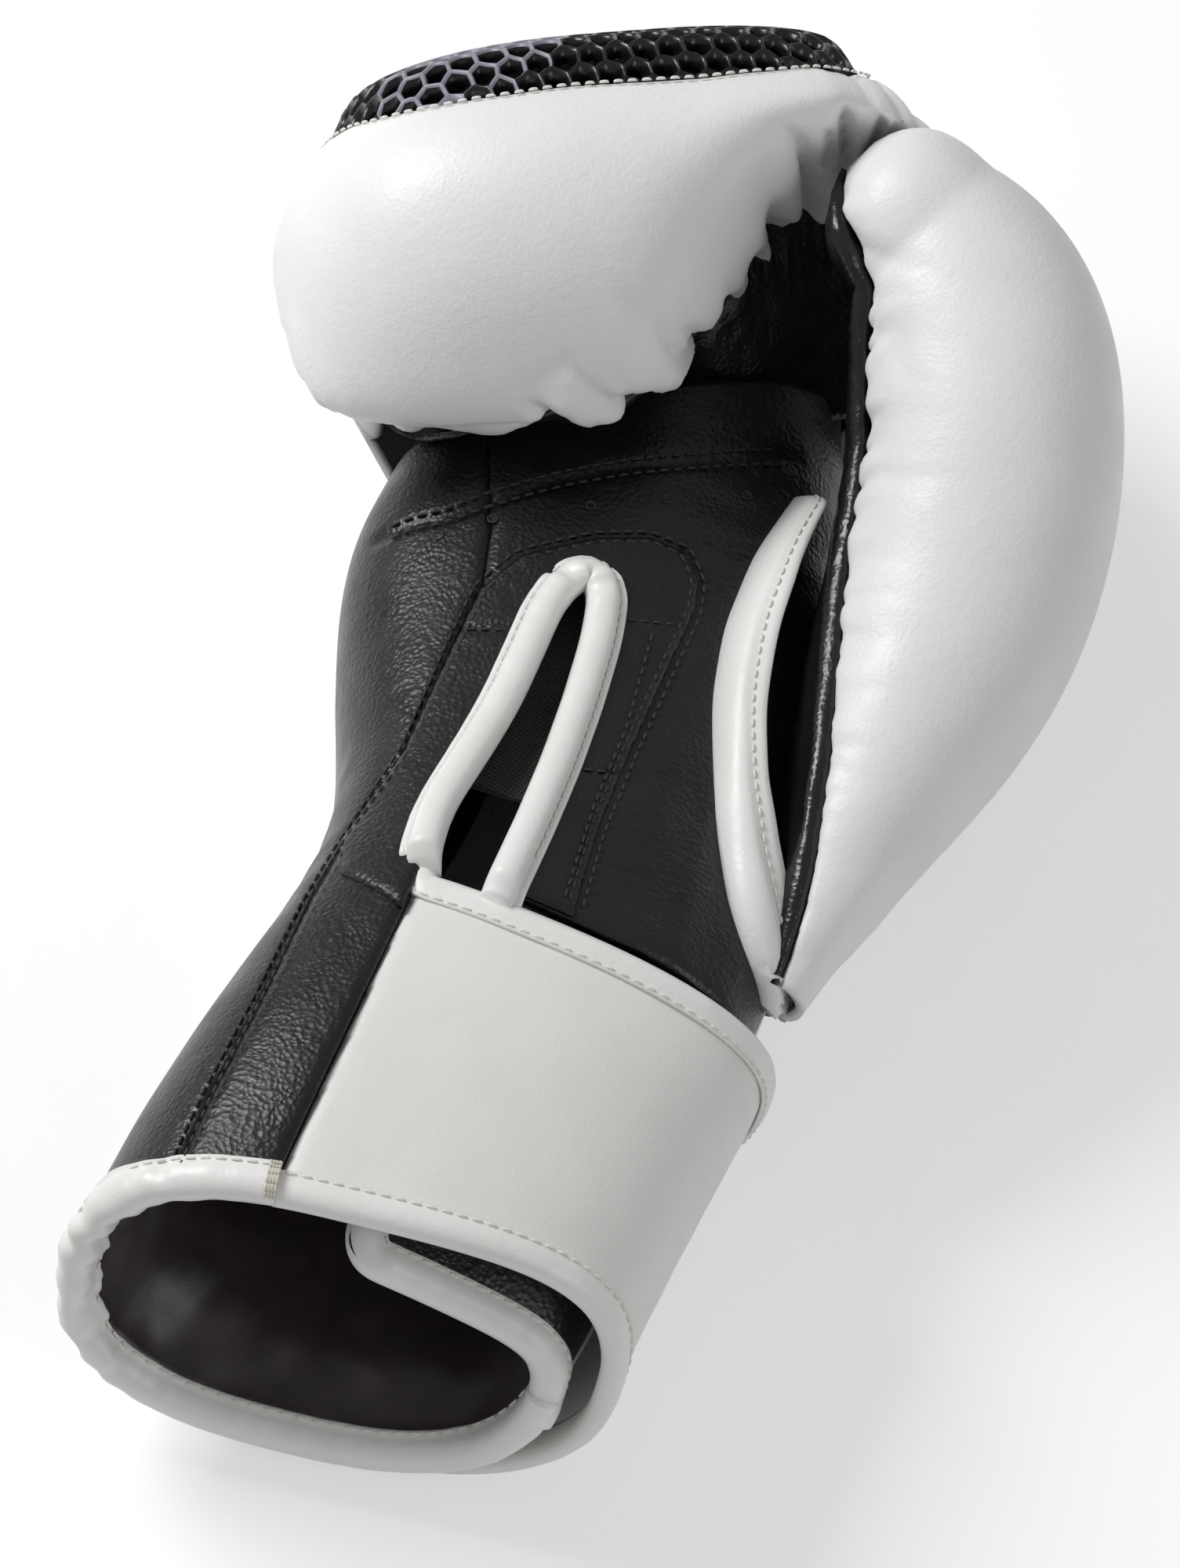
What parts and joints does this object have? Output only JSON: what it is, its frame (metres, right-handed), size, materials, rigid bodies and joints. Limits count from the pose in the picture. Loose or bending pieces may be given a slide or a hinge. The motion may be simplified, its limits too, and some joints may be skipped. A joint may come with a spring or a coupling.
{
  "type": "boxing glove",
  "caption": "right-hand padded boxing glove with a curled fist, an open honeycomb pad over the knuckles, a thumb and a wrap-round wrist strap",
  "frame": {"origin": "middle of the flat that the back of the hand rests on", "axes": "+Y points from the cuff to the fingers, +X to the thumb and +Z out of the palm"},
  "size_m": [0.1887, 0.3183, 0.1239],
  "materials": {
    "white_leather": "smooth synthetic leather, fine grain, satin",
    "black_leather": "pebbled synthetic leather, semi-gloss",
    "white_binding": "folded white binding, stitched, satin",
    "dark_lining": "dark satin lining",
    "elastic_mesh": "woven elastic",
    "foam": "closed-cell foam",
    "lattice": "printed elastomer, glossy",
    "backing": "soft sheet",
    "hook_loop": "hook and loop tape"
  },
  "bodies": {
    "hand": {"back_cover": "white_leather", "side_panel": "black_leather", "palm_panel": "black_leather", "palm_overlay": "black_leather", "slot_binding": "white_binding", "thumb_web_binding": "white_binding", "slot_gusset": "elastic_mesh", "hand_foam": "foam", "hand_lining": "dark_lining", "cuff_hem_binding": "white_binding", "loop_patch": "hook_loop"},
    "fist": {"fist_cover": "white_leather", "grip_panel": "black_leather", "fist_foam": "foam", "finger_lining": "dark_lining", "grip_bar": "foam", "lattice_backing": "backing", "lattice_pad": "lattice"},
    "thumb": {"thumb_inner_panel": "black_leather", "thumb_cover": "white_leather", "thumb_foam": "foam", "thumb_lining": "dark_lining"},
    "underlap": {"underlap_cover": "black_leather", "underlap_lining": "dark_lining", "underlap_binding": "white_binding"},
    "strap_panel": {"strap_panel": "white_leather", "strap_top_binding": "white_binding", "strap_bottom_binding": "white_binding"},
    "strap_tail": {"strap_tail": "white_leather", "strap_tail_binding": "white_binding", "hook_patch": "hook_loop"}
  },
  "joints": [
    {"name": "finger_open", "type": "hinge", "parent": "hand", "child": "fist", "pos_m": [-0.02662, 0.08275, 0.001], "axis": [-0.9063, -0.4226, 0], "range_deg": [0, 12], "stiffness_Nm_per_rad": 3.5},
    {"name": "thumb_flex", "type": "hinge", "parent": "hand", "child": "thumb", "pos_m": [0.048, -0.045, 0.05], "axis": [0, 0, -1], "range_deg": [0, 10], "stiffness_Nm_per_rad": 1.5},
    {"name": "underlap_press", "type": "hinge", "parent": "hand", "child": "underlap", "pos_m": [0.0245, -0.1065, 0.0409], "axis": [-0.235, -0.9708, -0.048], "range_deg": [0, 8], "stiffness_Nm_per_rad": 1},
    {"name": "strap_peel", "type": "hinge", "parent": "strap_panel", "child": "strap_tail", "pos_m": [0.0391, -0.107, 0.046], "axis": [-0.2018, -0.9794, 0], "range_deg": [0, 120]},
    {"name": "strap_lift", "type": "hinge", "parent": "hand", "child": "strap_panel", "pos_m": [-0.0402, -0.106, 0.0792], "axis": [-0.1212, -0.9918, 0.0408], "range_deg": [0, 30]}
  ],
  "couplings": [
    {"joint": "strap_lift", "follows": "strap_peel", "ratio": 0.25}
  ]
}
